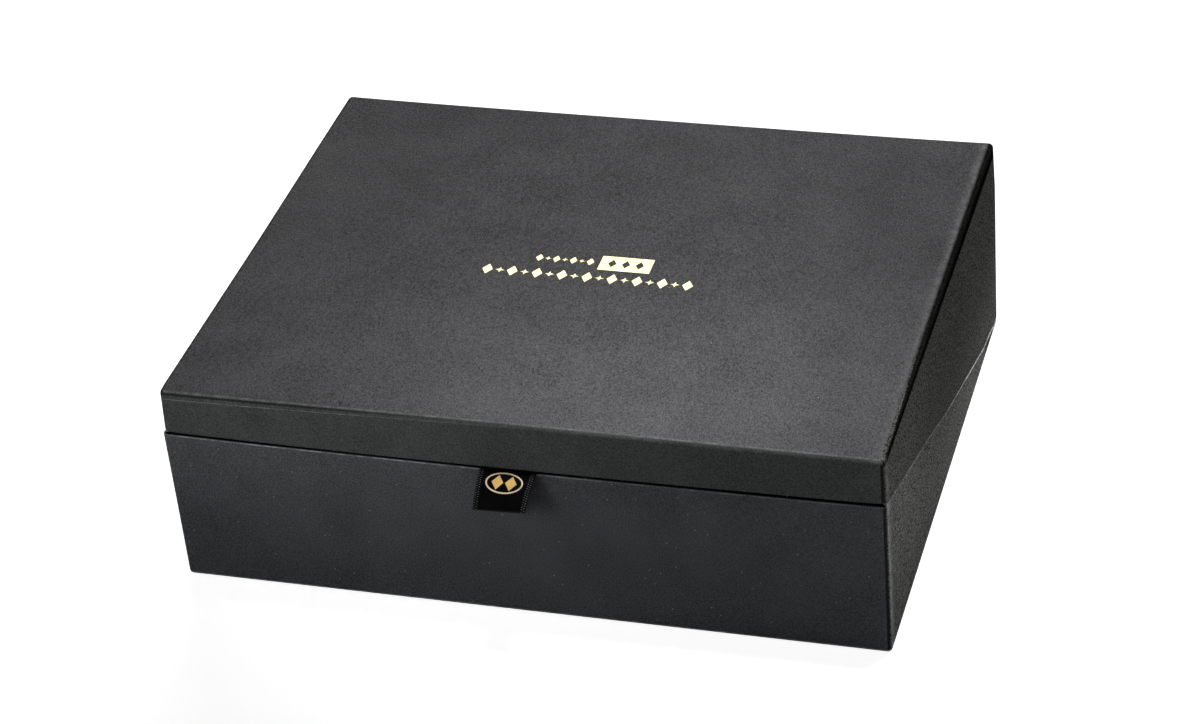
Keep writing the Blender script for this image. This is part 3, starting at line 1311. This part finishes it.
dress(lidSkin, paperSkin)
dress(baseSkin, baseSkinPaper)
dress(clothStrip, makeHingeCloth())
dress(ribbonLoop, makeSatin())
dress(tabFoil, makeFoil("gold_foil_tab", foil["tab"], foil["tabMetal"], foil["tabRing"]))
for piece in linerBoards:
    dress(piece, linerPaper)
for piece in bentBoards:
    dress(piece, greyBoard)
dress(bentStays, cornerTape)

nodeFinish = {
    "board": greyBoard, "stays": cornerTape, "lining": liningPaper, "sheet": undersidePaper,
    "ornament": lidFoil, "panel": linerPaper, "divider": linerPaper, "wrap": paperSkin,
    "leaf": greyBoard, "anchor": greyBoard, "tab": greyBoard, "emblem": lidFoil,
}
for name, node in frame["nodes"].items():
    for word, material in nodeFinish.items():
        if word in name.split("_"):
            dress(node, material)


# camera, lamps and floor
view = {
    "azimuth": 18.379,       # degrees to the right of the front
    "elevation": 33.98,
    "roll": -5.203,
    "distance": 1.638378,
    "target": (-0.000662, 0.0, 0.048223),
    "lens": 100.982,
    "sensor": 36,
}


def buildCamera():
    az, el, roll = (math.radians(view[k]) for k in ("azimuth", "elevation", "roll"))
    back = Vector((math.sin(az) * math.cos(el), -math.cos(az) * math.cos(el), math.sin(el)))
    right = (-back).cross(Vector((0, 0, 1))).normalized()
    up = right.cross(-back)
    tiltRight = right * math.cos(roll) + up * math.sin(roll)
    tiltUp = up * math.cos(roll) - right * math.sin(roll)
    data = bpy.data.cameras.new("camera")
    data.lens = view["lens"]
    data.sensor_width = view["sensor"]
    data.sensor_fit = "HORIZONTAL"
    camera = bpy.data.objects.new("camera", data)
    turned = Matrix((tiltRight, tiltUp, back)).transposed().to_4x4()
    camera.matrix_world = Matrix.Translation(Vector(view["target"]) + back * view["distance"]) @ turned
    bpy.context.scene.collection.objects.link(camera)
    bpy.context.scene.camera = camera


middle = (0, 0, 0.05)


def lampPlan(start, aim, size, spread, power):
    return {"from": start, "aim": aim, "size": size, "spread": spread, "power": power}


lamps = {
    "keyLeft": lampPlan((-0.69, -1.02, 0.70), (-0.275, -0.137, 0.155), (0.5, 0.12), 12, 0.078),
    "keyRight": lampPlan((-0.30, -1.25, 0.70), (0.07, -0.137, 0.19), (0.5, 0.12), 12, 0.032),
    "fill": lampPlan((-0.69, -1.02, 0.70), middle, (0.9, 0.9), 180, 1.95),
    "front": lampPlan((0.0, -1.6, 0.9), middle, (0.9, 0.9), 180, 1.5),
    "hoodFront": lampPlan((0.05, 0.1, 1.6), (0.03, -0.125, 0.106), (0.2, 0.05), 9, 0.032),
    "hoodRight": lampPlan((0.2, 0.1, 1.6), (0.12, -0.10, 0.106), (0.2, 0.1), 10, 0.038),
    "hoodMiddle": lampPlan((0.3, 0.2, 1.6), (0.06, -0.01, 0.106), (0.3, 0.3), 12, 0.021),
    "hoodRear": lampPlan((0.3, 0.3, 1.6), (0.08, 0.12, 0.106), (0.3, 0.3), 12, 0.044),
    "backLeft": lampPlan((-0.5, 1.5, 1.0), middle, (0.9, 0.9), 180, 12.2),
    "backRight": lampPlan((0.7, 1.5, 1.0), middle, (0.9, 0.9), 180, 15.0),
    "right": lampPlan((1.6, -0.2, 0.4), (0.17, 0, 0.0), (0.4, 0.2), 16, 0.022),
    "rightFront": lampPlan((1.5, -0.3, 0.35), (0.17, -0.12, 0.06), (0.1, 0.1), 8, 0.013),
    "rightRear": lampPlan((1.1, 0.9, 0.15), (0.17, 0.13, -0.04), (0.3, 0.05), 10, 0.07),
}


def buildLamp(name, plan):
    data = bpy.data.lights.new(name, "AREA")
    data.shape = "RECTANGLE"
    data.size, data.size_y = plan["size"]
    data.spread = math.radians(plan["spread"])
    data.energy = plan["power"]
    lamp = bpy.data.objects.new(name, data)
    lamp.location = plan["from"]
    toward = Vector(plan["aim"]) - Vector(plan["from"])
    lamp.rotation_euler = toward.to_track_quat("-Z", "Y").to_euler()
    bpy.context.scene.collection.objects.link(lamp)


# the floor and the sky are bright to the camera and dim to the box
stage = {
    "floorDim": rgb(0.45, 0.45, 0.45),
    "floorBright": rgb(1.0, 1.0, 1.0),
    "glow": 3.39,
    "glowShare": 0.25,
    "reach": 6.0,
    "sky": (0.02, 1.0),
}


def buildFloor():
    f = Finish("floor")
    seen = f.node("ShaderNodeLightPath")
    tone = f.mix(seen, stage["floorDim"], stage["floorBright"])
    matt = f.node("ShaderNodeBsdfDiffuse", None, {"Color": tone})
    glow = f.node("ShaderNodeEmission", None, {"Color": rgb(1, 1, 1), "Strength": stage["glow"]})
    both = f.node("ShaderNodeMixShader", None, {0: seen * stage["glowShare"], 1: matt, 2: glow})
    f.node("ShaderNodeOutputMaterial", None, {"Surface": both})
    reach = stage["reach"]
    square = np.array([[[-reach, -reach, 0], [reach, -reach, 0]], [[-reach, reach, 0], [reach, reach, 0]]])
    floor = gridPiece("floor", square, flip=True)
    dress(floor, f.material)


def buildWorld():
    world = bpy.data.worlds.new("studio")
    world.use_nodes = True
    bpy.context.scene.world = world
    tree = world.node_tree
    tree.nodes.clear()
    path = tree.nodes.new("ShaderNodeLightPath")
    strength = tree.nodes.new("ShaderNodeMapRange")
    strength.inputs[3].default_value, strength.inputs[4].default_value = stage["sky"]
    seen = tree.nodes.new("ShaderNodeMath")
    seen.operation = "MAXIMUM"
    tree.links.new(path.outputs["Is Camera Ray"], seen.inputs[0])
    tree.links.new(path.outputs["Is Transmission Ray"], seen.inputs[1])
    tree.links.new(seen.outputs[0], strength.inputs[0])
    sky = tree.nodes.new("ShaderNodeBackground")
    sky.inputs["Color"].default_value = (1, 1, 1, 1)
    tree.links.new(strength.outputs[0], sky.inputs["Strength"])
    out = tree.nodes.new("ShaderNodeOutputWorld")
    tree.links.new(sky.outputs[0], out.inputs["Surface"])


print("setting the camera and the lamps")
buildCamera()
for lampName, plan in lamps.items():
    buildLamp(lampName, plan)
buildFloor()
buildWorld()
bpy.context.scene.view_settings.view_transform = "Standard"

print("size written")
